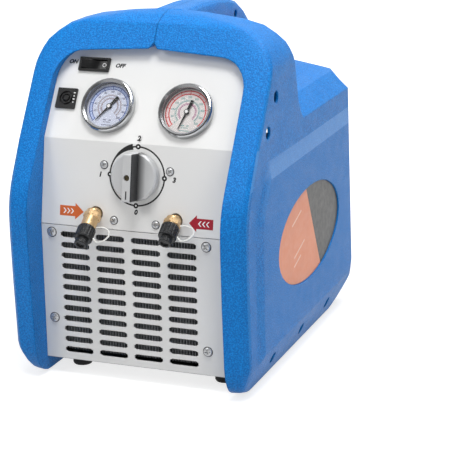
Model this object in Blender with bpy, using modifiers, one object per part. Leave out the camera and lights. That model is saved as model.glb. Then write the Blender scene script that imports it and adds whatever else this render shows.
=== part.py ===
"""Portable refrigerant recovery machine, built in metres with +Z up and the front facing -Y.

Lengths below are millimetres. Depth runs back from the face of the lower front panel, height from the floor.
"""

import math

import bmesh
import bpy
import numpy as np
from mathutils import Matrix, Vector

MM = 0.001
GAP = 0.3  # clearance between touching pieces
Y_MID = 146.4  # depth of the middle of the whole machine behind the lower front panel

# Housing
WALL = 3.0
SEAM = 0.15  # half the gap between the housing halves
FLANK = 121.8  # half width behind the front corner
RAISED = FLANK + 3.2  # half width at the raised side panel
RAIL_FOOT = FLANK - 10.8  # half width at the underside
TAPER = 0.4  # how fast the lower sides spread with height
SHELL_BASE = 2.0
BODY_TOP = 272.0
SHELL_TOP = 352.8
FACE_BAND = 24.0  # width of the front band beside the window
INNER_HALF = FLANK - 22.8  # half width between the legs
RAIL_TOP = 15.3
# front edge of the housing as height, depth
FRONT = [(2, 4), (2.6, -4), (5, -10.5), (9, -16.5), (15, -21), (24, -24.3), (36, -26), (100, -29.7),
         (150, -31.4), (165, -31.2), (175, -30.4), (185, -28.2), (195, -24.2), (205, -18.4),
         (215, -12), (226, -5.0), (343.5, 69.2), (349.5, 82), (352.8, 97)]
# rear edge of the side walls
REAR = [(2, 268), (5, 278), (9, 287), (15, 297), (24, 307), (36, 314.5), (48, 318), (242.5, 301),
        (266, 299), (272, 293)]
# back of the tall front arch
ARCH_REAR = [(2, 150), (235, 150), (242.5, 145), (251, 136.5), (262, 129.5), (340, 109), (347, 106),
             (352.8, 102)]
# half width of the arch and of the body behind it, as shares of the flank
ARCH_SIDE = [(295, 1.01), (304, 1.005), (310, 0.993), (317, 0.972), (324, 0.941), (332, 0.87), (340, 0.772),
             (345.5, 0.608), (350.5, 0.312), (352.8, 0.066)]
BODY_SIDE = [(242.5, 1.002), (260, 0.846), (268.5, 0.46), (272, 0.082)]
REAR_CURVE = [(0.805, -2.0), (0.46, -0.7)]  # share of the flank, depth from the middle of the bowed back
ARCH_INNER = (304.0, 324.0, 340.0)  # levels of the hollow inside the arch
REAR_BOW = 13.0  # how far the middle of the back stands behind the side walls
# raised side panel
BAND_TOP = (205.9, 221.6)
BAND_FRONT = [(36, 19.5), (48, 18), (150, 16), (167, 16.7), (205.9, 38.7), (221.6, 45)]
BAND_FRONT_WIDTH = 14.0
BAND_REAR = (14.0, 3.0)
OVAL_CENTRE = (157.2, 121.7)
OVAL_SEMI = (98.5, 48.7)
OVAL_DEPTH = 3.0
INLAY_THICK = 1.2
FLANK_HOLES = [(62.9, 280.0), (39.5, 250.2)]
RAIL_HOLES = [58.0, 147.0, 234.6]
HOLE_R = 6.3

# Carry handle, its side view as depth, height
HANDLE_HALF = 20.0
HANDLE_ROUND = 8.0
HANDLE_WALL = 3.5
HANDLE_LINE = [(98, 322), (90, 345), (99, 352.8), (150, 352.6), (181, 350.8), (213, 347.2), (238, 341.2),
               (258, 330.5), (276, 316), (290, 299), (298, 283), (301, 268), (301, 250), (280, 250),
               (279.5, 268), (274, 283), (265, 297), (251, 309), (232, 317.5), (208, 322.5), (181, 325.5),
               (150, 327), (124, 326.5), (114, 322)]
HANDLE_SCREW = (229.0, 328.5)

# Window and front panels
WINDOW_ROUND = 29.0
WINDOW_CORNER = (INNER_HALF - WINDOW_ROUND, 288.0)
WINDOW_TOP = 321.0
NOTCH = (4.5, 5.0)
SEAM_Z = 154.3
BEND_Z = 237.1
LEAN_MID = math.radians(10.0)
LEAN_TOP = math.radians(32.5)
PANEL_HALF = INNER_HALF + 6.0
PANEL_TOP = 328.0
SHEET = 1.5
GRILLE_BASE = 16.6
SLOT_COLS = 4
SLOT_ROWS = 12
SLOT_MARGINS = (19.7, 35.9)  # from the legs to the first and the last slot
SLOT_GAP = 6.4
SLOT_W = (2 * INNER_HALF - sum(SLOT_MARGINS) - SLOT_GAP * (SLOT_COLS - 1)) / SLOT_COLS
SLOT_H = 6.0
SLOT_PITCH_X = SLOT_W + SLOT_GAP
SLOT_PITCH_Z = 10.78
SLOT_LEFT = SLOT_MARGINS[0] - INNER_HALF
SLOT_TOP_Z = 145.0
GRID_MID_X = SLOT_LEFT + (SLOT_W + SLOT_PITCH_X * (SLOT_COLS - 1)) / 2

# Things on the front panels: sideways position, distance up the panel from the bend or height
GAUGE_AT = {"left": (-37.7, 35.4), "right": (42.8, 35.0)}
GAUGE_R = 25.4
GAUGE_RING_R = 27.2
GAUGE_LIP = 22.9
GAUGE_RISE = 7.5
NEEDLE_REST = {"left": math.radians(233.0), "right": math.radians(252.0)}
NEEDLE_TIP = 18.8
NEEDLE_TAIL = 12.4
SWITCH_AT = (-61.5, 76.9)
SWITCH_SIZE = (31.8, 13.8)
ROCKER_SIZE = (25.8, 9.2)
ROCKER_TILT = math.radians(10.0)
BREAKER_AT = (15.5 - INNER_HALF, 40.4)
BREAKER_SIZE = (20.2, 20.4)
KNOB_Z = 206.7
KNOB_R = 23.5
KNOB_DISC = 10.0
KNOB_BAR = (9.5, 25.5)
KNOB_SHAFT_R = 4.0
PORT_X = 41.3
PORT_Z = 168.2
PORT_R = 5.9
PORT_HUB = 6.0
PORT_BEND = math.radians(45.0)
ARM_R = 7.4
NUT_R = 8.6
CAP_START = {"in": 17.6, "out": 6.6}  # from the bend of the fitting to the cap
CAP_LENGTH = 20.8
CAP_SKIRT = 13.8
CAP_R = 8.9
CAP_WAIST = 0.62  # share of the cap's radius
CAP_KNOB = 0.72
CAP_RIBS = 12
CAP_RIB_DEPTH = 0.5
THREAD_R = 5.6
THREAD_LENGTH = 12.0
TETHER_R = 0.8

# Inside
BASE_Z = 15.6
BASE_THICK = 1.5
BASE_HALF = INNER_HALF + 8.0
FOOT_R = 10.0
FOOT_BORE = 4.0
FOOT_AT = (INNER_HALF - 22.0, 34.0, 258.0)
PACK_HALF = INNER_HALF - 21.5
PACK_Z = (24.0, 151.0)
FIN_PITCH = 3.0
FIN_THICK = 0.9
FIN_FRONT = 8.0
CORE = (14.0, 27.0)
TUBE_R = 4.0
TUBE_ROWS = 6
TUBE_Z = 37.0
TUBE_STEP = 20.2
TUBE_Y = 20.5
TUBE_END = (19.0, 46.0)  # how far the tube ends stand beyond the fins, and their depth
TUBE_REACH = 5.0  # straight tube beyond the fins before each turn
AXIS_X = GRID_MID_X
AXIS_Z = 88.0
FAN_R = PACK_HALF - 20.5
FAN_Y = 50.0
FAN_BLADES = 5
SHAFT_R = 4.0
MOTOR_R = 48.0
MOTOR_Y = (70.0, 150.0)
CRANK_Y = (154.0, 206.0)
CRANK_TOP = 116.0
PUMP_Y = 180.0
HEAD_Z = 168.0
CYLINDER_FINS = 4
CYLINDER_STEP = 11.5
BLOCK_X = 60.0
BLOCK_Y = (19.0, 46.0)
BLOCK_Z = (157.0, 220.0)
REAR_LEAN = math.radians(5.0)
REAR_HALF = INNER_HALF - 11.0
REAR_SEAT = 2.9  # how far the middle of the back sheet lies inside the bowed wall
REAR_Z = (54.0, 232.0)
INLET_AT = (-58.0, -72.0)

COLOURS = {
    "shell": (0.02, 0.18, 0.62, 1), "sheet": (0.62, 0.62, 0.62, 1), "chrome": (0.75, 0.75, 0.77, 1),
    "dial": (0.9, 0.9, 0.9, 1), "black": (0.02, 0.02, 0.02, 1), "glass": (0.8, 0.9, 0.95, 1),
    "brass": (0.62, 0.45, 0.2, 1), "knob": (0.5, 0.5, 0.5, 1), "copper": (0.6, 0.28, 0.15, 1),
    "fins": (0.45, 0.46, 0.48, 1), "cast": (0.35, 0.36, 0.38, 1), "inlay": (0.85, 0.35, 0.22, 1),
    "tether": (0.85, 0.85, 0.82, 1), "steel": (0.4, 0.41, 0.43, 1), "rubber": (0.015, 0.015, 0.015, 1),
}


def start_scene():
    for obj in list(bpy.data.objects):
        bpy.data.objects.remove(obj)
    machine = bpy.data.collections.new("refrigerant_recovery_machine")
    cutters = bpy.data.collections.new("cutters")
    cutters.hide_render = True
    for collection in (machine, cutters):
        bpy.context.scene.collection.children.link(collection)
    return machine, cutters


MACHINE, CUTTERS = start_scene()


def at(x, y, z):
    """A point of the machine in metres."""
    return Vector((x, y - Y_MID, z)) * MM


def material_for(name, kind):
    material = bpy.data.materials.new(name)
    material.use_nodes = True
    shader = material.node_tree.nodes["Principled BSDF"]
    shader.inputs["Base Color"].default_value = COLOURS[kind]
    shader.inputs["Metallic"].default_value = float(kind in ("chrome", "brass", "copper", "fins", "steel"))
    shader.inputs["Roughness"].default_value = 0.3 if kind in ("chrome", "glass") else 0.5
    return material


def link(obj, kind, matrix=None):
    """Puts a piece in the machine, or a cutter, which has no kind, in its hidden collection."""
    if matrix is not None:
        obj.matrix_world = matrix
    if kind is None:
        CUTTERS.objects.link(obj)
        obj.hide_render = True
        obj.display_type = "WIRE"
    else:
        MACHINE.objects.link(obj)
        obj.data.materials.append(material_for(obj.name, kind))
    return obj


def from_bmesh(name, bm, kind, matrix=None, smooth=False):
    bmesh.ops.recalc_face_normals(bm, faces=bm.faces)
    mesh = bpy.data.meshes.new(name)
    for face in bm.faces:
        face.smooth = smooth
    bm.to_mesh(mesh)
    bm.free()
    return link(bpy.data.objects.new(name, mesh), kind, matrix)


def cut(obj, cutter, operation="DIFFERENCE"):
    modifier = obj.modifiers.new(cutter.name, "BOOLEAN")
    modifier.operation = operation
    modifier.solver = "EXACT"
    modifier.object = cutter
    return obj


def join(obj, other):
    return cut(obj, other, "UNION")


def add_face(bm, corners):
    """A face through the corners, leaving out repeated ones."""
    kept = [v for i, v in enumerate(corners) if v is not corners[i - 1]]
    if len(set(kept)) == len(kept) > 2 and not bm.faces.get(kept):
        bm.faces.new(kept)


def loft(name, rings, kind, matrix=None, smooth=False):
    """Skins rings of points that have the same count, and closes both ends."""
    bm = bmesh.new()
    known = {}

    def vertex(point):
        key = tuple(round(c * 1e6) for c in point)
        if key not in known:
            known[key] = bm.verts.new(point)
        return known[key]

    rows = [[vertex(point) for point in ring] for ring in rings]
    for low, high in zip(rows, rows[1:]):
        for i in range(len(low)):
            j = (i + 1) % len(low)
            add_face(bm, [low[i], low[j], high[j], high[i]])
    add_face(bm, rows[0][::-1])
    add_face(bm, rows[-1])
    return from_bmesh(name, bm, kind, matrix, smooth)


def local(x, y, z):
    return Vector((x, y, z)) * MM


def prism(name, outline, low, high, kind, matrix=None):
    """An outline in the local XY plane, pulled from low to high along local Z."""
    return loft(name, [[local(x, y, z) for x, y in outline] for z in (low, high)], kind, matrix)


def prisms(name, outlines, low, high, matrix):
    """Several separate prisms in one cutter."""
    bm = bmesh.new()
    for outline in outlines:
        rows = [[bm.verts.new(local(x, y, z)) for x, y in outline] for z in (low, high)]
        for i in range(len(outline)):
            j = (i + 1) % len(outline)
            bm.faces.new([rows[0][i], rows[0][j], rows[1][j], rows[1][i]])
        bm.faces.new(rows[0][::-1])
        bm.faces.new(rows[1])
    return from_bmesh(name, bm, None, matrix)


def box(name, low, high, kind):
    corners = [(low[0], low[1]), (high[0], low[1]), (high[0], high[1]), (low[0], high[1])]
    return loft(name, [[at(x, y, z) for x, y in corners] for z in (low[2], high[2])], kind)


def turned(name, profile, kind, matrix, steps=32, closed=False):
    """A profile of radius and height turned about local Z. It runs down its outer side."""
    mesh = bpy.data.meshes.new(name)
    count = len(profile)
    edges = [(i, i + 1) for i in range(count - 1)] + ([(count - 1, 0)] if closed else [])
    mesh.from_pydata([local(r, 0, z) for r, z in profile], edges, [])
    obj = link(bpy.data.objects.new(name, mesh), kind, matrix)
    screw = obj.modifiers.new("turn", "SCREW")
    screw.axis = "Z"
    screw.steps = steps
    screw.render_steps = steps
    screw.use_merge_vertices = True
    screw.merge_threshold = 1e-6
    screw.use_smooth_shade = True
    return obj


def rod(name, radius, low, high, kind, matrix, steps=24):
    return turned(name, [(0, high), (radius, high), (radius, low), (0, low)], kind, matrix, steps)


def plate(name, outlines, thickness, kind, matrix):
    """A flat sheet with holes: the first outline is its edge. It is centred on the local XY plane."""
    curve = bpy.data.curves.new(name, "CURVE")
    curve.dimensions = "2D"
    curve.fill_mode = "BOTH"
    curve.extrude = thickness / 2 * MM
    for outline in outlines:
        spline = curve.splines.new("POLY")
        spline.points.add(len(outline) - 1)
        for point, (x, y) in zip(spline.points, outline):
            point.co = (x * MM, y * MM, 0, 1)
        spline.use_cyclic_u = True
    return link(bpy.data.objects.new(name, curve), kind, matrix)


def pipe(name, points, radius, bend, kind, bevel_resolution=2):
    """A round tube through world points, its corners rounded to the bend radius."""
    path = rounded_path([Vector(p) for p in points], bend)
    curve = bpy.data.curves.new(name, "CURVE")
    curve.dimensions = "3D"
    curve.bevel_depth = radius * MM
    curve.bevel_resolution = bevel_resolution
    curve.use_fill_caps = True
    spline = curve.splines.new("POLY")
    spline.points.add(len(path) - 1)
    for point, place in zip(spline.points, path):
        point.co = (*at(*place), 1)
    return link(bpy.data.objects.new(name, curve), kind)


def rounded_path(points, bend, steps=4):
    path = [points[0]]
    for before, corner, after in zip(points, points[1:], points[2:]):
        a = (before - corner).normalized()
        b = (after - corner).normalized()
        half = a.angle(b) / 2
        reach = min(bend / math.tan(half), 0.49 * (before - corner).length, 0.49 * (after - corner).length)
        start = corner + a * reach
        end = corner + b * reach
        for i in range(steps + 1):
            t = i / steps
            path.append(start * (1 - t) ** 2 + corner * 2 * t * (1 - t) + end * t ** 2)
    path.append(points[-1])
    return path


def arc(cx, cy, radius, start, end, steps):
    angles = [start + (end - start) * i / steps for i in range(steps + 1)]
    return [(cx + radius * math.cos(a), cy + radius * math.sin(a)) for a in angles]


def circle(cx, cy, radius, count):
    return arc(cx, cy, radius, 0, 2 * math.pi * (1 - 1 / count), count - 1)


def slot(cx, cy, width, height, steps=3):
    reach = (width - height) / 2
    quarter = math.pi / 2
    return (arc(cx + reach, cy, height / 2, -quarter, quarter, steps)
            + arc(cx - reach, cy, height / 2, quarter, 3 * quarter, steps))


def rectangle(cx, cy, width, height):
    w, h = width / 2, height / 2
    return [(cx - w, cy - h), (cx + w, cy - h), (cx + w, cy + h), (cx - w, cy + h)]


def rounded_rectangle(cx, cy, width, height, radius, steps=3):
    w, h = width / 2 - radius, height / 2 - radius
    quarter = math.pi / 2
    outline = []
    for i, (x, y) in enumerate([(cx + w, cy + h), (cx - w, cy + h), (cx - w, cy - h), (cx + w, cy - h)]):
        outline += arc(x, y, radius, i * quarter, (i + 1) * quarter, steps)
    return outline


def inset(outline, by):
    """The outline moved inwards, for an outline that runs anticlockwise."""
    moved = []
    for i, point in enumerate(outline):
        p = Vector(point)
        a = (p - Vector(outline[i - 1])).normalized()
        b = (Vector(outline[(i + 1) % len(outline)]) - p).normalized()
        normal = Vector((-a.y - b.y, a.x + b.x)).normalized()
        lean = max(normal.dot(Vector((-a.y, a.x))), 0.35)
        moved.append(tuple(p + normal * (by / lean)))
    return moved


def follow(pairs, z):
    return float(np.interp(z, [p[0] for p in pairs], [p[1] for p in pairs]))


def panel_y(z):
    """Depth of the face of the front panels at a height."""
    if z < SEAM_Z:
        return 0.0
    mid = (min(z, BEND_Z) - SEAM_Z) * math.tan(LEAN_MID)
    return mid + max(z - BEND_Z, 0) * math.tan(LEAN_TOP)


def panel_frame(x, y, z, lean):
    """Local Z stands out of a leaning front panel, local Y runs up it."""
    return Matrix.Translation(at(x, y, z)) @ Matrix.Rotation(math.pi / 2 - lean, 4, "X")


def top_frame(x, up):
    y = panel_y(BEND_Z) + up * math.sin(LEAN_TOP)
    return panel_frame(x, y, BEND_Z + up * math.cos(LEAN_TOP), LEAN_TOP)


def mid_frame(x, z):
    return panel_frame(x, panel_y(z), z, LEAN_MID)


def along_y(x, y, z):
    """Local Z points to the back."""
    return Matrix.Translation(at(x, y, z)) @ Matrix.Rotation(-math.pi / 2, 4, "X")


def facing_y(x, y, z):
    """Local Z points to the front and local Y up."""
    return Matrix.Translation(at(x, y, z)) @ Matrix.Rotation(math.pi / 2, 4, "X")


def along_x(x, y, z):
    """Local Z points to +X, local X to the back and local Y up."""
    turn = Matrix(((0, 0, 1, 0), (1, 0, 0, 0), (0, 1, 0, 0), (0, 0, 0, 1)))
    return Matrix.Translation(at(x, y, z)) @ turn


def upright(x, y, z):
    return Matrix.Translation(at(x, y, z))


def rear_frame(x, up):
    """Local Z stands out of the back panel, from the middle of its opening."""
    z = sum(REAR_Z) / 2 + up * math.cos(REAR_LEAN)
    y = follow(REAR, z) + REAR_BOW - WALL - REAR_SEAT
    turn = Matrix.Rotation(math.pi, 4, "Z") @ Matrix.Rotation(math.pi / 2 - REAR_LEAN, 4, "X")
    return Matrix.Translation(at(x, y, z)) @ turn


def taper_half(z):
    return RAIL_FOOT + TAPER * max(z - SHELL_BASE, 0)


def half_section(z, t):
    """Outline of the right half at a height, from the front of the middle round to the back. t insets it."""
    centre = SEAM if t == 0 else -5.0
    above = z + t
    limit = taper_half(z) - t * 1.1
    arch = min(follow(ARCH_SIDE, above) * FLANK - t, limit)
    flank = min(arch, FLANK - t)
    raised = raised_half(z, flank, limit) if t == 0 else flank
    front = follow(FRONT, above if above > 343.5 else z) + t * 1.2
    crown = float(np.interp(z, [190, 235], [6.0, 2.5]))
    back = follow(ARCH_REAR, z) - t
    band = follow(BAND_FRONT, z)
    corner = front + crown + 5.5
    low_edge = max(band - BAND_FRONT_WIDTH, corner + 0.5)
    points = [(centre, front), (arch - FACE_BAND, front), (arch - 5, front + crown * 0.75),
              (arch - 1.3, front + crown + 1.8), (arch, corner),
              (flank, low_edge), (raised, max(band, low_edge + 1))]
    points = [(max(x, centre), min(y, back)) for x, y in points]
    if above > BODY_TOP:
        return points + [(flank, back)] + [(centre, back)] * 6
    body = min(follow(BODY_SIDE, above) * FLANK - t, flank)
    low = z < BODY_SIDE[0][0]
    rear = follow(REAR, z) - t
    bow = [(share * FLANK, REAR_BOW + y) for share, y in REAR_CURVE] + [(centre, REAR_BOW)]
    side = raised if low else body
    points += [(raised if low else flank, back), (side, back + 1.5), (side, rear - BAND_REAR[0])]
    points += [(flank if low else body, rear - BAND_REAR[1])]
    return points + [(max(min(x, body - 4), centre), rear + y) for x, y in bow]


def raised_half(z, flank, limit):
    wide = flank + float(np.interp(z, BAND_TOP, (RAISED - FLANK, 0)))
    return min(wide, limit)


LEVELS = sorted({z for z, _ in FRONT + REAR + ARCH_SIDE + BODY_SIDE + ARCH_REAR} | set(BAND_TOP)
                | {29.5, 190.0, 285.0, BODY_TOP + 0.01})


def housing_half(name, sign):
    """One half of the clam shell, hollow, with its window, rails, handle and screw holes."""
    rings = [[at(sign * x, y, z) for x, y in half_section(z, 0)] for z in LEVELS if z <= SHELL_TOP]
    shell = loft(name, rings, "shell")
    join(shell, handle_solid(name + "_handle", sign, SEAM, HANDLE_HALF, 0))
    inner = [z for z in LEVELS[::2] if SHELL_BASE + WALL < z < BODY_TOP - WALL - 1]
    inner += [SHELL_BASE + WALL, BODY_TOP - WALL, BODY_TOP - WALL + 0.01]
    inner += [*ARCH_INNER, SHELL_TOP - WALL - 1]
    rings = [[at(sign * x, y, z) for x, y in half_section(z, WALL)] for z in sorted(inner)]
    cavity = loft(name + "_cavity", rings, None)
    cut(cavity, TUNNEL)
    cut(cavity, RAIL_KEEP)
    cut(shell, cavity)
    cut(shell, handle_solid(name + "_grip_hollow", sign, -5.0, HANDLE_HALF - HANDLE_WALL, HANDLE_WALL))
    for cutter in SHELL_CUTTERS:
        cut(shell, cutter)
    return shell


def handle_solid(name, sign, low, high, by):
    """The bridge-shaped handle as a rounded slab standing on its side view."""
    line = inset(HANDLE_LINE[::-1], by) if by else HANDLE_LINE[::-1]
    round_by = HANDLE_ROUND - by
    steps = [(low, 0.0)]
    for angle in (0, 30, 60, 90):
        a = math.radians(angle)
        steps.append((high - round_by * (1 - math.sin(a)), round_by * (1 - math.cos(a))))
    rings = [[at(sign * x, y, z) for y, z in inset(line, more)] for x, more in steps]
    return loft(name, rings, None, smooth=True)


def window_half(extra):
    """Half width of the window against height."""
    x, z = WINDOW_CORNER
    pairs = [(-5.0, INNER_HALF + extra)]
    pairs += [(b, a) for a, b in arc(x, z, WINDOW_ROUND + extra, 0, math.pi / 2, 8)]
    pairs += [(WINDOW_TOP + extra, NOTCH[0] + extra), (WINDOW_TOP + NOTCH[1] + extra, 0.4)]
    return pairs


def window_solid(name, extra, back):
    """The window pulled from ahead of the housing back to a depth that depends on height."""
    pairs = window_half(extra)
    heights = sorted({z for z, _ in pairs} | {SEAM_Z, BEND_Z})
    rings = []
    for z in heights:
        half = follow(pairs, z)
        rings.append([at(x, y, z) for x, y in ((-half, -60), (half, -60), (half, back(z)), (-half, back(z)))])
    return loft(name, rings, None)


def rail_holes():
    """Round screw holes square to the tapered lower sides."""
    bm = bmesh.new()
    tilt = math.atan(TAPER)
    for sign in (-1, 1):
        for y in RAIL_HOLES:
            spot = at(sign * taper_half(19.5), y, 19.5)
            out = Vector((sign * math.cos(tilt), 0, -math.sin(tilt)))
            turn = out.to_track_quat("Z", "Y").to_matrix().to_4x4()
            bmesh.ops.create_cone(bm, cap_ends=True, segments=20, radius1=HOLE_R * MM, radius2=HOLE_R * MM,
                                  depth=9.5 * MM, matrix=Matrix.Translation(spot) @ turn)
    return from_bmesh("rail_holes", bm, None)


def side_holes():
    """The upper flank screw holes, through both sides."""
    outlines = [circle(y, z, HOLE_R, 20) for y, z in FLANK_HOLES]
    frame = along_x(0, 0, 0)
    low, high = FLANK - 17, FLANK + 13
    right = prisms("flank_holes_right", outlines, low, high, frame)
    left = prisms("flank_holes_left", outlines, -high, -low, frame)
    screw = prisms("handle_screw_hole", [circle(*HANDLE_SCREW, 4.5, 16)], 8, 30, frame)
    return [right, left, screw]


def oval_outline(clearance):
    count = 40
    a, b = OVAL_SEMI[0] - clearance, OVAL_SEMI[1] - clearance
    turns = [2 * math.pi * i / count for i in range(count)]
    return [(OVAL_CENTRE[0] + a * math.cos(t), OVAL_CENTRE[1] + b * math.sin(t)) for t in turns]


def shell_cutters():
    window = window_solid("window", 0, lambda z: 92.0)
    under = box("underside", (-INNER_HALF, -60, -5), (INNER_HALF, 360, RAIL_TOP + 0.1), None)
    middle = sum(REAR_Z) / 2
    opening = rounded_rectangle(0, 0, 2 * REAR_HALF, REAR_Z[1] - REAR_Z[0], 10)
    rear = prism("rear_opening", opening, -50, 30, None, along_y(0, 310, middle))
    floor = RAISED - OVAL_DEPTH
    ovals = [prisms("oval_right", [oval_outline(0)], floor, floor + 20, along_x(0, 0, 0)),
             prisms("oval_left", [oval_outline(0)], -floor - 20, -floor, along_x(0, 0, 0))]
    return [window, under, rear, rail_holes(), *side_holes(), *ovals]


def build_housing():
    housing_half("right_shell", 1)
    housing_half("left_shell", -1)
    floor = RAISED - OVAL_DEPTH + GAP
    prism("right_side_inlay", oval_outline(0.4), floor, floor + INLAY_THICK, "inlay", along_x(0, 0, 0))
    prism("left_side_inlay", oval_outline(0.4), -floor - INLAY_THICK, -floor, "inlay", along_x(0, 0, 0))


def control_panel():
    """The bent upper sheet that carries the gauges, the switch, the selector and the ports."""
    heights = [SEAM_Z + GAP, BEND_Z, 300.0, 320.0, PANEL_TOP]
    rings = []
    for z in heights:
        half = float(np.interp(z, [300, 320, PANEL_TOP], [PANEL_HALF, PANEL_HALF - 8, PANEL_HALF - 22]))
        y = panel_y(z)
        deep = SHEET / math.cos(LEAN_TOP if z > BEND_Z else LEAN_MID)
        rings.append([at(a, b, z) for a, b in ((-half, y), (half, y), (half, y + deep), (-half, y + deep))])
    panel = loft("control_panel", rings, "sheet")
    for side, spot in ((-1, "left"), (1, "right")):
        cut(panel, rod(spot + "_gauge_hole", GAUGE_R + 0.6, -5, 5, None, top_frame(*GAUGE_AT[spot])))
        cut(panel, rod(spot + "_port_hole", PORT_R + 1.2, -6, 6, None, mid_frame(side * PORT_X, PORT_Z)))
    cut(panel, rod("knob_hole", KNOB_SHAFT_R + 1.5, -6, 6, None, mid_frame(0, KNOB_Z), 16))
    openings = [(SWITCH_AT, SWITCH_SIZE, 2.6, "switch_hole"), (BREAKER_AT, BREAKER_SIZE, 2.6, "breaker_hole")]
    for (x, up), (width, height), rim, name in openings:
        outline = rectangle(0, 0, width - rim, height - rim)
        cut(panel, prism(name, outline, -6, 6, None, top_frame(x, up)))
    return panel


def grille_panel():
    """The lower front sheet with its field of round ended slots, which sits left of the middle."""
    middle = (GRILLE_BASE + SEAM_Z - GAP) / 2
    outlines = [rectangle(0, 0, 2 * PANEL_HALF, SEAM_Z - GAP - GRILLE_BASE)]
    for column in range(SLOT_COLS):
        for row in range(SLOT_ROWS):
            x = SLOT_LEFT + SLOT_W / 2 + column * SLOT_PITCH_X
            z = SLOT_TOP_Z - row * SLOT_PITCH_Z
            outlines.append(slot(x, z - middle, SLOT_W, SLOT_H))
    return plate("grille_panel", outlines, SHEET, "sheet", facing_y(0, SHEET / 2, middle))


def rear_panel():
    """The back sheet with air slots and the opening for the mains inlet."""
    height = REAR_Z[1] - REAR_Z[0] + 12
    outlines = [rectangle(0, 0, 2 * REAR_HALF + 12, height)]
    for column in (-1, 1):
        for row in range(9):
            outlines.append(slot(column * 40, 82 - row * 13, 62, 6))
    outlines.append(rectangle(*INLET_AT, 27.6, 20.6))
    return plate("rear_panel", outlines, SHEET, "sheet", rear_frame(0, 0))


def base_plate():
    """The floor pan, with a lip up behind the lower front panel."""
    back = SHEET + GAP
    top = BASE_Z + BASE_THICK
    line = [(back, BASE_Z), (292, BASE_Z), (292, top), (back + 1.5, top), (back + 1.5, 23), (back, 23)]
    return prism("base_plate", line, -BASE_HALF, BASE_HALF, "steel", along_x(0, 0, 0))


def feet():
    top = BASE_Z - GAP
    profile = [(FOOT_BORE - 1, top), (FOOT_R - 1.2, top), (FOOT_R, 1.5), (FOOT_R - 1, 0), (FOOT_BORE, 0)]
    x, front, rear = FOOT_AT
    for name, sx, y in (("front_left", -1, front), ("front_right", 1, front),
                        ("rear_left", -1, rear), ("rear_right", 1, rear)):
        turned("foot_" + name, profile, "rubber", upright(sx * x, y, 0), 16, closed=True)


def gauge(side):
    """One pressure gauge: cup with its stem, dial, pointer, glass and chrome ring."""
    name = side + "_gauge_"
    frame = top_frame(*GAUGE_AT[side])
    bore = GAUGE_R - 1.4
    turned(name + "case", [(0, -2), (bore, -2), (bore, 5.5), (GAUGE_R, 5.5), (GAUGE_R, -26), (5, -26),
                           (5, -36), (0, -36)], "black", frame, 24)
    dial = bore - 0.4
    turned(name + "dial", [(1.6, -0.7), (dial, -0.7), (dial, -1.7), (1.6, -1.7)], "dial", frame, 24, True)
    needle = prism(name + "needle", needle_outline(), 0.6, 1.2, "black", frame)
    needle.data.transform(Matrix.Rotation(NEEDLE_REST[side], 4, "Z"))
    join(needle, turned(name + "hub", [(0, 2.0), (2.6, 2.0), (2.6, 0.2), (1.2, 0.2), (1.2, -1.7), (0, -1.7)],
                        None, frame, 10))
    turned(name + "glass", [(0, 5.2), (dial, 5.2), (dial, 3.8), (0, 3.8)], "glass", frame, 24)
    ring = GAUGE_RING_R
    turned(name + "ring", [(ring - 2.2, GAUGE_RISE), (ring - 0.9, GAUGE_RISE - 0.4), (ring, GAUGE_RISE - 1.7),
                           (ring, GAP), (GAUGE_R + GAP, GAP), (GAUGE_R + GAP, 5.8), (GAUGE_LIP, 5.8),
                           (GAUGE_LIP, 6.3)], "chrome", frame, 32, closed=True)


def needle_outline():
    half = [(NEEDLE_TIP, 0.25), (0, 1.0), (-NEEDLE_TAIL, 1.5)]
    return half + [(x, -y) for x, y in half[::-1]]


def power_switch():
    frame = top_frame(*SWITCH_AT)
    width, height = SWITCH_SIZE
    body = prism("switch_frame", rectangle(0, 0, width, height), GAP, 3.0, "black", frame)
    join(body, prism("switch_case", rectangle(0, 0, width - 3.4, height - 3.4), -16, 1.5, None, frame))
    length, deep = ROCKER_SIZE
    cut(body, prism("switch_pocket", rectangle(0, 0, length + 1, deep + 0.6), -9, 6, None, frame))
    end = length / 2 - 0.1
    side = [(-end, 3.2), (0.2 - end, -2.5), (-end / 2, -6.5), (end / 2, -6.5), (end - 0.2, -2.5), (end, 3.2),
            (end / 2, 2.0), (0, 1.4), (-end / 2, 2.0)]
    pivot = frame @ Matrix.Translation(local(0, 0, -1))
    lay = Matrix.Rotation(math.pi / 2, 4, "X")
    rocker = prism("power_rocker", [(x, z + 1) for x, z in side], -deep / 2, deep / 2, "black", pivot)
    rocker.data.transform(Matrix.Rotation(ROCKER_TILT, 4, "Y") @ lay)


def breaker():
    frame = top_frame(*BREAKER_AT)
    width, height = BREAKER_SIZE
    body = prism("breaker_body", rectangle(0, 0, width, height), GAP, 2.8, "black", frame)
    join(body, prism("breaker_case", rectangle(0, 0, width - 3.4, height - 3.4), -24, 1.5, None, frame))
    cut(body, rod("breaker_dish", 7.0, 1.2, 6, None, frame, 24))
    cut(body, rod("breaker_bore", 3.7, -9, 6, None, frame, 20))
    turned("breaker_button", [(0, 4.2), (2.4, 4.0), (3.2, 3.2), (3.2, -7.5), (0, -7.5)], "black", frame, 20)


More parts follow.
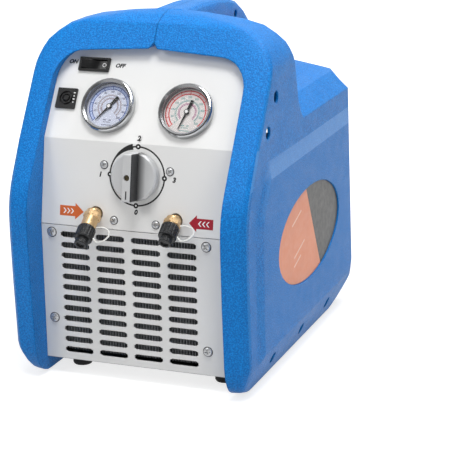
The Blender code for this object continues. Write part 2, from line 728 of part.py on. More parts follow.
def selector_knob():
    """The disc, its grip bar and its shaft, turning on the middle sheet."""
    frame = mid_frame(0, KNOB_Z)
    width, top = KNOB_BAR
    reach = KNOB_R - 0.6
    knob = turned("selector_knob", [(0, KNOB_DISC), (KNOB_R - 1.5, KNOB_DISC), (KNOB_R, KNOB_DISC - 1.5),
                                    (KNOB_R, 1.0), (KNOB_SHAFT_R, 1.0), (KNOB_SHAFT_R, -14), (0, -14)],
                  "knob", frame, 32)
    half = math.asin(width / 2 / reach)
    ends = arc(0, 0, reach, math.pi / 2 - half, math.pi / 2 + half, 4)
    outline = ends + [(-x, -y) for x, y in ends]
    bar = loft("knob_bar", [[local(x, y, KNOB_DISC - 2) for x, y in outline],
                            [local(x, y, top - 1.2) for x, y in outline],
                            [local(x * 0.86, y * 0.955, top) for x, y in outline]], None, frame)
    join(knob, bar)
    cut(knob, rod("knob_recess", 3.0, top - 4, top + 5, None, frame, 20))
    cut(knob, prism("knob_pointer", rectangle(0, -16.5, 1.4, 8.0), top - 0.7, top + 5, None, frame))


def port_arm(side):
    """Local Z runs along the angled arm of a fitting, from its bend."""
    frame = mid_frame((-1 if side == "in" else 1) * PORT_X, PORT_Z)
    return frame, frame @ Matrix.Translation(local(0, 0, PORT_HUB)) @ Matrix.Rotation(PORT_BEND, 4, "X")


def port(side):
    """An angled brass fitting and the black cap that screws on it."""
    name = side + "_port_"
    frame, arm = port_arm(side)
    start = CAP_START[side]
    end = start + THREAD_LENGTH
    body = turned(name + "elbow", [(0, end), (THREAD_R - 0.8, end), (THREAD_R, end - 1), (THREAD_R, start),
                                   (ARM_R, start - 0.8), (ARM_R, -2), (0, -2)], "brass", arm, 20)
    nut = prism(name + "nut", circle(0, 0, NUT_R, 6), 0.6, min(start - 1.4, 6.0), None,
                arm @ Matrix.Rotation(math.pi / 6, 4, "Z"))
    join(body, nut)
    join(body, turned(name + "neck", [(0, PORT_HUB + 3.5), (3.5, PORT_HUB + 3.0), (PORT_R, PORT_HUB),
                                      (PORT_R, -20), (0, -20)], None, frame, 20))
    outline = ribbed_circle(CAP_R, CAP_R - CAP_RIB_DEPTH, CAP_RIBS)
    low = start + GAP
    high = start + CAP_LENGTH
    rim = start + CAP_SKIRT
    sizes = [(0.94, low), (1.0, low + 1.2), (1.0, rim - 1.0), (0.93, rim), (CAP_WAIST, rim + 0.4),
             (CAP_WAIST, high - 4.0), (CAP_KNOB, high - 3.6), (CAP_KNOB, high - 0.6), (CAP_KNOB * 0.92, high)]
    rings = [[local(x * size, y * size, z) for x, y in outline] for size, z in sizes]
    cap = loft(name + "cap", rings, "rubber", arm)
    cut(cap, rod(name + "cap_bore", THREAD_R + GAP, low - 5, end + 0.6, None, arm, 16))
    cut(cap, rod(name + "cap_dish", 4.0, high - 1.6, high + 3, None, arm, 16))


def ribbed_circle(outer, inner, count):
    """Grip ribs round a cap: a flat crest, then a groove."""
    step = 2 * math.pi / count
    outline = []
    for i in range(count):
        for share, radius in ((-0.27, outer), (0.27, outer), (0.5, inner)):
            turn = step * (i + share)
            outline.append((radius * math.cos(turn), radius * math.sin(turn)))
    return outline


def tether(side):
    """The thin loop from the fitting to the side of its cap, which slides past the end of it."""
    start = CAP_START[side]
    ends = (ARM_R + GAP + TETHER_R + 0.1, CAP_R + GAP + TETHER_R + 0.1)
    loop = [(ends[0], -1.7), (15, -2.6), (22.5, 0), (25.3, 7), (21, 14), (14.5, CAP_SKIRT + 2.6),
            (ends[1], CAP_SKIRT - 2.4)]
    arm = port_arm(side)[1]
    points = [(arm @ local(x, 0, start + z)) / MM + Vector((0, Y_MID, 0)) for x, z in loop]
    pipe(side + "_cap_tether", points, TETHER_R, 6, "tether", 1)


def condenser():
    """Fin pack with fine upright fins, the tube that winds through it and its two end plates."""
    left, right = GRID_MID_X - PACK_HALF, GRID_MID_X + PACK_HALF
    count = int((right - left - FIN_THICK) / FIN_PITCH) + 1
    start = left + (right - left - (count - 1) * FIN_PITCH - FIN_THICK) / 2
    comb = [(right, CORE[1]), (left, CORE[1])]
    for i in range(count):
        x = start + i * FIN_PITCH
        comb += [(x, CORE[0]), (x, FIN_FRONT), (x + FIN_THICK, FIN_FRONT), (x + FIN_THICK, CORE[0])]
    rings = [[at(x, y, z) for x, y in comb] for z in PACK_Z]
    pack = loft("condenser_fins", rings, "fins")
    rows = [TUBE_Z + TUBE_STEP * i for i in range(TUBE_ROWS)]
    bores = [circle(TUBE_Y, z, TUBE_R + GAP, 8) for z in rows]
    cut(pack, prisms("tube_bores", bores, left - 5, right + 5, along_x(0, 0, 0)))
    for name, x in (("left", left - GAP - 0.5), ("right", right + GAP + 0.5)):
        edge = [(FIN_FRONT - 2, PACK_Z[0] - 4), (CORE[1] + 6, PACK_Z[0] - 4), (CORE[1] + 6, PACK_Z[1]),
                (FIN_FRONT - 2, PACK_Z[1])]
        holes = [circle(TUBE_Y, z, TUBE_R + 0.5, 8) for z in rows]
        plate(f"condenser_{name}_plate", [edge, *holes], 1.0, "steel", along_x(x, 0, 0))
    bend = TUBE_STEP / 2
    turns = (left - TUBE_REACH - bend, right + TUBE_REACH + bend)
    end_x, end_y = right + TUBE_END[0], TUBE_END[1]
    path = [(end_x, end_y, rows[-1]), (end_x, TUBE_Y, rows[-1])]
    for i in range(TUBE_ROWS - 1, 0, -1):
        x = turns[0] if i % 2 else turns[1]
        path += [(x, TUBE_Y, rows[i]), (x, TUBE_Y, rows[i - 1])]
    path += [(end_x, TUBE_Y, rows[0]), (end_x, end_y, rows[0])]
    pipe("condenser_tube", path, TUBE_R, bend - 0.2, "copper", 1)


def fan_and_shaft():
    """The shroud behind the condenser, and the fan on the front end of the motor shaft."""
    low, high = PACK_Z
    middle = (low + high) / 2
    frame = along_y(AXIS_X, 40, AXIS_Z)
    outline = rectangle(0, AXIS_Z - middle, 2 * PACK_HALF, high - low)
    sheet = prism("fan_shroud", outline, 0, 1.5, "steel", frame)
    join(sheet, rod("shroud_collar", FAN_R + 5, 0.5, 16, None, frame, 28))
    cut(sheet, rod("shroud_bore", FAN_R + 3, -5, 25, None, frame, 28))
    axis = along_y(AXIS_X, FAN_Y, AXIS_Z)
    hub = turned("fan", [(SHAFT_R + GAP, 13), (14, 13), (16, 11), (16, 0), (14, -2), (SHAFT_R + GAP, -2)],
                 "black", axis, 20, closed=True)
    join(hub, fan_blades(axis))
    rod("motor_shaft", SHAFT_R, -4, CRANK_Y[1] - FAN_Y - 6, "steel", axis, 16)


def fan_blades(axis):
    bm = bmesh.new()
    rings = []
    for radius, twist, chord in ((12, 40, 20), (30, 32, 30), (46, 26, 36), (FAN_R, 22, 36)):
        a = math.radians(twist)
        ring = []
        for along, thick in ((-0.5, 0), (0, 0.9), (0.5, 0), (0, -0.9)):
            rise = 5.5 + chord * along * math.sin(a) * 0.55
            ring.append(local(radius, chord * along * math.cos(a), rise + thick))
        rings.append(ring)
    for i in range(FAN_BLADES):
        turn = Matrix.Rotation(2 * math.pi * i / FAN_BLADES, 3, "Z")
        rows = [[bm.verts.new(turn @ point) for point in ring] for ring in rings]
        for a, b in zip(rows, rows[1:]):
            for k in range(4):
                bm.faces.new([a[k], a[(k + 1) % 4], b[(k + 1) % 4], b[k]])
        bm.faces.new(rows[0][::-1])
        bm.faces.new(rows[-1])
    return from_bmesh("fan_blades", bm, None, axis)


def compressor():
    """Motor, crankcase, finned cylinder and head, standing on two rubber rails."""
    length = MOTOR_Y[1] - MOTOR_Y[0]
    frame = along_y(AXIS_X, MOTOR_Y[0], AXIS_Z)
    bore = SHAFT_R + GAP
    motor = turned("motor", [(bore, length), (30, length), (MOTOR_R - 4, length - 6), (MOTOR_R, length - 12),
                             (MOTOR_R, 14), (MOTOR_R - 5, 6), (26, 0), (bore, 0)], "cast", frame, 24, True)
    seat = BASE_Z + BASE_THICK + 8 + 2 * GAP
    x = AXIS_X
    join(motor, box("motor_cradle", (x - 36, MOTOR_Y[0] + 16, seat), (x + 36, MOTOR_Y[1] - 14, 52), None))
    shape = [(x - 40, seat), (x + 40, seat), (x + 40, CRANK_TOP - 20), (x + 30, CRANK_TOP),
             (x - 30, CRANK_TOP), (x - 40, CRANK_TOP - 20)]
    case = loft("crankcase", [[at(px, y, pz) for px, pz in shape] for y in CRANK_Y], "cast")
    depth = CRANK_Y[1] - CRANK_Y[0] - 4
    cut(case, rod("crank_bore", bore, -20, depth, None, along_y(x, CRANK_Y[0], AXIS_Z), 16))
    for name, y in (("front", MOTOR_Y[0] + 24), ("rear", CRANK_Y[0] + 18)):
        box(f"mount_{name}", (x - 42, y, seat - 8 - GAP), (x + 42, y + 18, seat - GAP), "rubber")
    profile = [(0, HEAD_Z - GAP)]
    for i in range(CYLINDER_FINS):
        z = HEAD_Z - GAP - CYLINDER_STEP * i
        profile += [(29, z), (29, z - 4), (23, z - 4.8), (23, z - CYLINDER_STEP)]
    profile = profile[:-1] + [(23, CRANK_TOP + GAP), (0, CRANK_TOP + GAP)]
    turned("cylinder", profile, "cast", upright(x, PUMP_Y, 0), 20)
    head = box("cylinder_head", (x - 31, PUMP_Y - 31, HEAD_Z), (x + 31, PUMP_Y + 31, HEAD_Z + 22), "cast")
    grooves = [rectangle(12 * i, 0, 5, 90) for i in (-2, -1, 0, 1, 2)]
    cut(head, prisms("head_grooves", grooves, HEAD_Z + 12, HEAD_Z + 40, upright(x, PUMP_Y, 0)))


def valve_block():
    """The manifold behind the selector, bored for the shaft and for the two fittings."""
    low = (-BLOCK_X, BLOCK_Y[0], BLOCK_Z[0])
    block = box("valve_block", low, (BLOCK_X, BLOCK_Y[1], BLOCK_Z[1]), "cast")
    cut(block, rod("spindle_bore", KNOB_SHAFT_R + 0.4, -15, 5, None, mid_frame(0, KNOB_Z), 20))
    for side in (-1, 1):
        cut(block, rod(f"port_bore_{side}", PORT_R + 0.4, -21, 5, None, mid_frame(side * PORT_X, PORT_Z), 24))


def pipes():
    block_back = BLOCK_Y[1] + GAP
    head_front = PUMP_Y - 31 - GAP
    x = AXIS_X
    left = x - 20
    pipe("suction_pipe", [(left, block_back, 190), (left, 80, 190), (left, 105, 176),
                          (left, head_front, 176)], 4, 12, "copper")
    out_x = GRID_MID_X + PACK_HALF + TUBE_END[0]
    out_y = TUBE_END[1] + GAP
    top = TUBE_Z + TUBE_STEP * (TUBE_ROWS - 1)
    pipe("discharge_pipe", [(out_x, out_y, top), (out_x, 92, top), (out_x, 112, 176), (x + 20, 122, 176),
                            (x + 20, head_front, 176)], 4, 12, "copper")
    pipe("liquid_pipe", [(out_x, out_y, TUBE_Z), (out_x, 64, TUBE_Z), (out_x + 14, 64, TUBE_Z + 16),
                         (out_x + 14, 64, 182), (out_x + 14, 32, 182), (BLOCK_X + GAP, 32, 182)],
         4, 10, "copper")
    for side, spot in GAUGE_AT.items():
        stem = top_frame(*spot) @ local(0, 0, -36 - GAP)
        x, y, z = stem.x / MM, stem.y / MM + Y_MID, stem.z / MM
        back, low = y + 9 * math.cos(LEAN_TOP), BLOCK_Z[1] + 7
        pipe(side + "_gauge_line", [(x, y, z), (x, back, z - 9 * math.sin(LEAN_TOP)), (x, back, low),
                                    (x, 38, low), (x, 38, BLOCK_Z[1] + GAP)], 1.8, 7, "copper", 1)


def electrics():
    """The mains inlet with its pins, the run capacitor and the high pressure cut-out."""
    frame = rear_frame(-INLET_AT[0], INLET_AT[1])
    body = prism("power_inlet", rounded_rectangle(0, 0, 31, 24, 2), SHEET / 2 + GAP, 3.2, "black", frame)
    join(body, prism("inlet_case", rectangle(0, 0, 27, 20), -17, 2, None, frame))
    cut(body, prism("inlet_socket", rounded_rectangle(0, 0, 23.5, 16.5, 3), -14, 8, None, frame))
    for name, px, py in (("left", -7, -2.5), ("right", 7, -2.5), ("earth", 0, 3)):
        prism("inlet_pin_" + name, rectangle(px, py, 2, 4.5), -14 + GAP, -2.5, "steel", frame)
    foot = BASE_Z + BASE_THICK + GAP
    turned("capacitor", [(0, 82), (17, 82), (19, 80), (19, 0), (0, 0)], "black", upright(70, 235, foot), 20)
    turned("capacitor_clip", [(19.4, 54), (21, 54), (21, 40), (19.4, 40)], "steel", upright(70, 235, foot),
           20, True)
    turned("pressure_cutout", [(0, 24), (7, 24), (9, 22), (9, 6), (5, 4), (5, GAP), (0, GAP)], "black",
           along_x(BLOCK_X, 34, 206), 16)


TUNNEL = window_solid("window_keep", WALL, lambda z: panel_y(z) - GAP)
RAIL_KEEP = box("rail_keep", (-INNER_HALF - WALL, -60, -5), (INNER_HALF + WALL, 360, RAIL_TOP), None)
SHELL_CUTTERS = shell_cutters()
build_housing()
control_panel()
grille_panel()
rear_panel()
base_plate()
feet()
gauge("left")
gauge("right")
power_switch()
breaker()
selector_knob()
port("in")
port("out")
tether("in")
tether("out")
condenser()
fan_and_shaft()
compressor()
valve_block()
pipes()
electrics()
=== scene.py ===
import math

import bmesh
import bpy
from mathutils import Matrix, Vector


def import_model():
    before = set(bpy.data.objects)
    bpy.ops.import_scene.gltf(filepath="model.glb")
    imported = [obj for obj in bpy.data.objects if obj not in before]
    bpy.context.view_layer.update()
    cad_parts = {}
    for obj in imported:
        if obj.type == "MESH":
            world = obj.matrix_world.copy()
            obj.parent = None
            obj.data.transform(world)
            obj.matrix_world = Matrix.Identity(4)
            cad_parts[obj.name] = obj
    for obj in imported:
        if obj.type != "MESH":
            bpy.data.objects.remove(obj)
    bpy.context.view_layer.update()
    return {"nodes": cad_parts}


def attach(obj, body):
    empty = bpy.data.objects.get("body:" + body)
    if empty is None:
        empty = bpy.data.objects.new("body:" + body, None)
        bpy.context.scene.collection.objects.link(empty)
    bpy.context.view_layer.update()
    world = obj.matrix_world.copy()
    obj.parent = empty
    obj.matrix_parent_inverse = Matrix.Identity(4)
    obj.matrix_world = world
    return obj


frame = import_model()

NODES = frame["nodes"]
MM = 0.001

# Places and sizes, as in the CAD source, in millimetres and degrees
Y_MID = 146.4
SEAM_Z = 154.3
BEND_Z = 237.1
LEAN_MID = math.radians(10.0)
LEAN_TOP = math.radians(32.5)
GAUGE_AT = {"left": (-37.7, 35.4), "right": (42.8, 35.0)}
SWITCH_AT = (-61.5, 76.9)
BREAKER_AT = (-83.5, 40.4)
KNOB_Z = 206.7
KNOB_EDGE = 0.0042  # half width of the grip, in metres
ROCKER_TOP = 3.6
ROCKER_TILT = 10
GRILLE_SCREWS = ((-88.2, 146.4), (-89.2, 58.4), (73.0, 145.8), (72.7, 40.9))
PANEL_SCREWS = ((-34.6, 215.1), (33.6, 213.4), (-22.2, 163.3), (21.3, 162.6))
FLANK_HOLES = ((62.9, 280.0), (39.5, 250.2))
FLANK_SEAT = 116.6
RAIL_HOLES = (58.0, 147.0, 234.6)
RAIL_Z = 19.5
RAIL_HALF = 111.0 + 0.4 * 17.5  # half width of the housing at the rail holes
RAIL_LEAN = math.atan(0.4)
HANDLE_SCREW = (229.0, 328.5)
OVAL_MID = (147, 121.7)
OVAL_FLOOR = 125.0 - 3.0 + 0.3 + 1.2
INLAY_SPLIT = ((149.3, 166.9), (194.1, 78.8))  # the line where the two fields of the inlay meet


def rgb(r, g, b):
    """A colour written as the photograph shows it, in linear light."""
    def linear(c):
        c /= 255
        return c / 12.92 if c <= 0.04045 else ((c + 0.055) / 1.055) ** 2.4
    return (linear(r), linear(g), linear(b), 1)


# ---------------------------------------------------------------- frames

def at(x, y, z):
    return Vector((x, y - Y_MID, z)) * MM


def panel_frame(x, y, z, lean):
    return Matrix.Translation(at(x, y, z)) @ Matrix.Rotation(math.pi / 2 - lean, 4, "X")


def top_frame(x, up):
    y = (BEND_Z - SEAM_Z) * math.tan(LEAN_MID) + up * math.sin(LEAN_TOP)
    return panel_frame(x, y, BEND_Z + up * math.cos(LEAN_TOP), LEAN_TOP)


def mid_frame(x, z):
    return panel_frame(x, (z - SEAM_Z) * math.tan(LEAN_MID), z, LEAN_MID)


def front_frame(x, z):
    return panel_frame(x, 0, z, 0)


def side_frame(sign, x, y, z, lean=0.0):
    """Local Z stands out of a side wall, local Y points up."""
    turn = Matrix.Rotation(sign * math.pi / 2, 4, "Z") @ Matrix.Rotation(math.pi / 2 + lean, 4, "X")
    return Matrix.Translation(at(sign * x, y, z)) @ turn


# ---------------------------------------------------------------- materials

class Nodes:
    """A short way to write the node tree of a material or of the world."""

    def __init__(self, owner):
        owner.use_nodes = True
        self.owner = owner
        self.tree = owner.node_tree
        self.shader = self.tree.nodes.get("Principled BSDF")

    def add(self, kind, **values):
        node = self.tree.nodes.new(kind)
        for key, value in values.items():
            setattr(node, key, value)
        return node

    def link(self, a, b):
        self.tree.links.new(a, b)

    def coords(self, stretch=None):
        place = self.add("ShaderNodeTexCoord").outputs["Object"]
        if not stretch:
            return place
        mapping = self.add("ShaderNodeMapping")
        mapping.inputs["Scale"].default_value = stretch
        self.link(place, mapping.inputs["Vector"])
        return mapping.outputs["Vector"]

    def axes(self, vector):
        """The X, Y and Z of a vector."""
        node = self.add("ShaderNodeSeparateXYZ")
        self.link(vector, node.inputs[0])
        return node.outputs

    def noise(self, vector, scale, detail=3.0, rough=0.5):
        node = self.add("ShaderNodeTexNoise")
        node.inputs["Scale"].default_value = scale
        node.inputs["Detail"].default_value = detail
        node.inputs["Roughness"].default_value = rough
        self.link(vector, node.inputs["Vector"])
        return node.outputs["Fac"]

    def spread(self, value, low, high, to_low, to_high):
        node = self.add("ShaderNodeMapRange")
        for key, number in (("From Min", low), ("From Max", high), ("To Min", to_low), ("To Max", to_high)):
            node.inputs[key].default_value = number
        self.link(value, node.inputs["Value"])
        return node.outputs["Result"]

    def mix(self, factor, a, b):
        node = self.add("ShaderNodeMix", data_type="RGBA")
        self.link(factor, node.inputs["Factor"])
        for socket, value in (("A", a), ("B", b)):
            target = [s for s in node.inputs if s.name == socket and s.type == "RGBA"][0]
            if isinstance(value, tuple):
                target.default_value = value
            else:
                self.link(value, target)
        return [s for s in node.outputs if s.type == "RGBA"][0]

    def math(self, operation, *values):
        node = self.add("ShaderNodeMath", operation=operation)
        for i, value in enumerate(values):
            if isinstance(value, (int, float)):
                node.inputs[i].default_value = value
            else:
                self.link(value, node.inputs[i])
        return node.outputs[0]


def shade(colour, by):
    return tuple(min(1.0, max(0.0, c * by)) for c in colour[:3]) + (1,)


def surface(name, colour, rough=0.5, metal=0.0, vary=0.06, vary_scale=25, grain=600, depth=0.00004,
            rough_vary=0.08, edge=0.0, stretch=None, other=None, specular=0.5):
    """Colour that drifts a little, fine grain, uneven gloss and softened edges."""
    m = Nodes(bpy.data.materials.new(name))
    where = m.coords(stretch)
    drift = m.noise(where, vary_scale, 4.0)
    factor = m.spread(drift, 0.3, 0.7, 0.0, 1.0)
    base = m.mix(factor, shade(colour, 1 - vary), other or shade(colour, 1 + vary))
    m.link(base, m.shader.inputs["Base Color"])
    worn = m.noise(where, vary_scale * 7, 5.0, 0.6)
    m.link(m.spread(worn, 0.3, 0.7, max(0.03, rough - rough_vary), min(1, rough + rough_vary)),
           m.shader.inputs["Roughness"])
    m.shader.inputs["Metallic"].default_value = metal
    m.shader.inputs["Specular IOR Level"].default_value = specular
    bump = m.add("ShaderNodeBump")
    bump.inputs["Strength"].default_value = 1.0
    bump.inputs["Distance"].default_value = depth
    m.link(m.noise(where, grain, 2.0), bump.inputs["Height"])
    if edge:
        bevel = m.add("ShaderNodeBevel", samples=4)
        bevel.inputs["Radius"].default_value = edge
        m.link(bevel.outputs["Normal"], bump.inputs["Normal"])
    m.link(bump.outputs["Normal"], m.shader.inputs["Normal"])
    return m


BLUE = rgb(0, 117, 200)


def shell_material():
    """Moulded blue plastic with a fine spark texture, with painted highlight where the raised sides slope
    upward or toward the front.
    """
    m = surface("shell_plastic", BLUE, rough=0.44, vary=0.06, vary_scale=9, grain=760, depth=0.0006,
                rough_vary=0.05, edge=0.0022, specular=0.22)
    even = m.shader.inputs["Base Color"].links[0].from_socket
    pits = m.spread(m.noise(m.coords(), 760, 2.0), 0.38, 0.62, 0.0, 1.0)
    spark = m.mix(pits, rgb(0, 86, 166), rgb(14, 140, 222))
    grained = m.mix(m.spread(pits, 0, 1, 0.5, 0.8), even, spark)
    # painted highlight: side faces below 0.24 m that tilt upward or toward the front are mixed to paler
    # blue, as if light caught them
    facing = m.axes(m.add("ShaderNodeNewGeometry").outputs["Normal"])
    sideways = m.math("GREATER_THAN", m.math("ABSOLUTE", facing["X"]), 0.9)
    below = m.math("LESS_THAN", m.axes(m.coords())["Z"], 0.24)
    upward_highlight_mask = m.math("MULTIPLY", m.spread(facing["Z"], 0.06, 0.19, 0.0, 0.5), below)
    with_upward_highlight = m.mix(m.math("MULTIPLY", sideways, upward_highlight_mask), grained, rgb(124, 168, 222))
    front_highlight_mask = m.math("MULTIPLY", sideways, m.spread(facing["Y"], -0.12, -0.3, 0.0, 0.3))
    m.link(m.mix(front_highlight_mask, with_upward_highlight, rgb(60, 150, 222)), m.shader.inputs["Base Color"])
    return m.owner


def inlay_material():
    """The oval inlay in two plain fields of colour that meet on a slanted line."""
    m = surface("inlay", rgb(246, 158, 128), rough=0.45, vary=0.03, grain=900, depth=0.000004)
    place = m.axes(m.coords())
    (y0, z0), (y1, z1) = INLAY_SPLIT
    left = m.math("MULTIPLY", m.math("SUBTRACT", place["Y"], (y0 - Y_MID) * MM), z0 - z1)
    right = m.math("MULTIPLY", m.math("SUBTRACT", place["Z"], z0 * MM), y1 - y0)
    side = m.math("GREATER_THAN", m.math("ADD", left, right), 0.0)
    drift = m.spread(m.noise(m.coords(), 30), 0.3, 0.7, 0, 1)
    warm = m.mix(drift, rgb(230, 144, 108), rgb(237, 151, 114))
    grey = m.mix(drift, rgb(63, 63, 61), rgb(67, 67, 65))
    m.link(m.mix(side, warm, grey), m.shader.inputs["Base Color"])
    return m.owner


def glass_material():
    """Clear flat lens: mostly lets the dial through, with a faint gloss."""
    m = surface("gauge_glass", (0.02, 0.02, 0.02, 1), rough=0.05, rough_vary=0.01, vary=0.01,
                depth=0.000001)
    m.shader.inputs["Alpha"].default_value = 0.05
    return m.owner


def knob_material():
    """Silver plastic, with painted shade on the disc right of the grip, deepest next to the grip."""
    m = surface("knob_plastic", rgb(206, 207, 208), rough=0.36, metal=0.25, vary=0.03, vary_scale=35,
                grain=900, depth=0.00002, edge=0.0009)
    silver = m.shader.inputs["Base Color"].links[0].from_socket
    across = m.axes(m.coords())["X"]
    beyond = m.math("GREATER_THAN", across, KNOB_EDGE)
    # painted shade: right of the grip the colour falls to near black next to the grip, as shade would lie
    # there
    grip_side_shade = m.math("MULTIPLY", m.spread(across, KNOB_EDGE, KNOB_EDGE + 0.0085, 1.0, 0.0), beyond)
    m.link(m.mix(grip_side_shade, silver, rgb(22, 22, 24)), m.shader.inputs["Base Color"])
    return m.owner


def plain(name, colour, **finish):
    return surface(name, colour, **finish).owner


SHELL = shell_material()
INLAY = inlay_material()
GLASS = glass_material()
KNOB = knob_material()
FINS = plain("fins", rgb(150, 152, 156), rough=0.5, metal=0.4, vary=0.2, vary_scale=60, grain=300,
             depth=0.00006, stretch=(6, 1, 0.3))
SHEET = plain("front_sheet", rgb(224, 224, 223), rough=0.4, vary=0.02, vary_scale=12, grain=1500,
              depth=0.00002, edge=0.0008)
REAR = plain("rear_sheet", rgb(196, 198, 200), rough=0.45, vary=0.03, vary_scale=12, grain=1500,
             depth=0.00002, edge=0.0008)
STEEL = plain("plain_steel", rgb(150, 152, 154), rough=0.35, metal=0.9, vary=0.1, vary_scale=40, grain=500,
              depth=0.00003, edge=0.0006, stretch=(1, 6, 1))
RUBBER = plain("foot_rubber", rgb(30, 30, 31), rough=0.75, vary=0.15, vary_scale=80, grain=900,
               depth=0.00008, edge=0.0008)
BLACK = plain("black_plastic", rgb(16, 16, 17), rough=0.4, vary=0.15, vary_scale=60, grain=1200,
              depth=0.00003, edge=0.0006, specular=0.3)
CASE = plain("gauge_case", rgb(132, 133, 136), rough=0.5, vary=0.08, vary_scale=60, grain=900,
             depth=0.00002, edge=0.0006)
GLOSSY = plain("rocker_plastic", rgb(16, 16, 17), rough=0.16, vary=0.12, vary_scale=70, grain=1300,
               depth=0.00001, edge=0.0008, specular=0.4, rough_vary=0.03)
DIAL_LEFT = plain("dial_cool", rgb(212, 218, 236), rough=0.5, vary=0.01, grain=900, depth=0.000005)
DIAL_RIGHT = plain("dial_warm", rgb(228, 222, 220), rough=0.5, vary=0.01, grain=900, depth=0.000005)
NEEDLE = plain("needle_black", rgb(12, 12, 13), rough=0.6, vary=0.1, grain=1200, depth=0.000005)
CHROME = plain("gauge_ring", rgb(190, 191, 193), rough=0.18, metal=1.0, vary=0.03, vary_scale=50, grain=700,
               depth=0.0000006, rough_vary=0.02)
BRASS = plain("fitting_brass", rgb(222, 184, 134), rough=0.32, metal=0.7, vary=0.05, vary_scale=60,
              grain=500, depth=0.000006, edge=0.0006, other=rgb(232, 198, 150))
DARK_BRASS = plain("knob_screw_brass", rgb(92, 84, 62), rough=0.4, metal=0.7, vary=0.2, vary_scale=120,
                   grain=900, depth=0.00003, edge=0.0004)
CAP = plain("cap_plastic", rgb(26, 27, 29), rough=0.3, vary=0.15, vary_scale=90, grain=1100, depth=0.00003,
            edge=0.0007)
TETHER = plain("tether", rgb(226, 226, 222), rough=0.4, vary=0.04, vary_scale=90, grain=900, depth=0.00002)
COPPER = plain("copper_tube", rgb(196, 118, 84), rough=0.3, metal=1.0, vary=0.15, vary_scale=50, grain=600,
               depth=0.00002)
CAST = plain("cast_metal", rgb(120, 122, 126), rough=0.55, metal=0.7, vary=0.12, vary_scale=60, grain=420,
             depth=0.00014, edge=0.001)
SCREW = plain("screw_steel", rgb(196, 197, 198), rough=0.3, metal=0.6, vary=0.08, vary_scale=90, grain=900,
              depth=0.00001, edge=0.0004)
# painted shade: steel screws deep in the side holes are coloured nearly black, as the shade of their holes
SCREW_IN_SHADE = plain("screw_steel_painted_shade", rgb(34, 38, 48), rough=0.75, vary=0.12, vary_scale=90, grain=900,
                   depth=0.00001, edge=0.0004, specular=0.1)
# painted shade: this grey fills screw crosses and slots and the thin discs under screw heads, where shade
# falls; the knob's pointer line uses it too
SHADE_AND_MARK_GREY = plain("recess_shade_and_mark", rgb(52, 52, 55), rough=0.5, metal=0.6, vary=0.1, grain=900, depth=0.00002)


def ink(name, colour):
    """Screen print on a flat face."""
    return plain("ink_" + name, colour, rough=0.5, vary=0.06, vary_scale=150, grain=1600, depth=0.000004)


INK_BLACK = ink("black", rgb(24, 24, 25))
INK_WHITE = ink("white", rgb(240, 240, 240))
INK_BLUE = ink("blue", rgb(40, 74, 160))
INK_SKY = ink("sky", rgb(186, 202, 240))
INK_SLATE = ink("slate", rgb(104, 108, 136))
INK_PINK = ink("pink", rgb(150, 134, 140))
INK_RED = ink("red", rgb(214, 56, 60))
INK_ROSE = ink("rose", rgb(250, 222, 222))
INK_TEAL = ink("teal", rgb(104, 158, 156))
INK_PLUM = ink("plum", rgb(178, 116, 150))
INK_ORANGE = ink("in_arrow", rgb(204, 98, 42))
INK_CRIMSON = ink("out_arrow", rgb(160, 16, 40))
INK_PALE = ink("pale_salmon", rgb(246, 204, 184))

FAMILIES = [
    (SHELL, ["left_shell", "right_shell"]),
    (INLAY, ["left_side_inlay", "right_side_inlay"]),
    (SHEET, ["control_panel", "grille_panel"]),
    (REAR, ["rear_panel"]),
    (STEEL, ["base_plate", "condenser_left_plate", "condenser_right_plate", "fan_shroud", "motor_shaft",
             "inlet_pin_left", "inlet_pin_right", "inlet_pin_earth", "capacitor_clip"]),
    (RUBBER, ["foot_front_left", "foot_front_right", "foot_rear_left", "foot_rear_right", "mount_front",
              "mount_rear"]),
    (CASE, ["left_gauge_case", "right_gauge_case"]),
    (BLACK, ["switch_frame", "breaker_body", "breaker_button", "power_inlet", "fan", "capacitor",
             "pressure_cutout"]),
    (GLOSSY, ["power_rocker"]),
    (DIAL_LEFT, ["left_gauge_dial"]),
    (DIAL_RIGHT, ["right_gauge_dial"]),
    (NEEDLE, ["left_gauge_needle", "right_gauge_needle"]),
    (GLASS, ["left_gauge_glass", "right_gauge_glass"]),
    (CHROME, ["left_gauge_ring", "right_gauge_ring"]),
    (KNOB, ["selector_knob"]),
    (BRASS, ["in_port_elbow", "out_port_elbow"]),
    (CAP, ["in_port_cap", "out_port_cap"]),
    (TETHER, ["in_cap_tether", "out_cap_tether"]),
    (FINS, ["condenser_fins"]),
    (COPPER, ["condenser_tube", "suction_pipe", "discharge_pipe", "liquid_pipe", "left_gauge_line",
              "right_gauge_line"]),
    (CAST, ["motor", "crankcase", "cylinder", "cylinder_head", "valve_block"]),
]

for material, names in FAMILIES:
    for name in names:
        mesh = NODES[name].data
        mesh.materials.clear()
        mesh.materials.append(material)


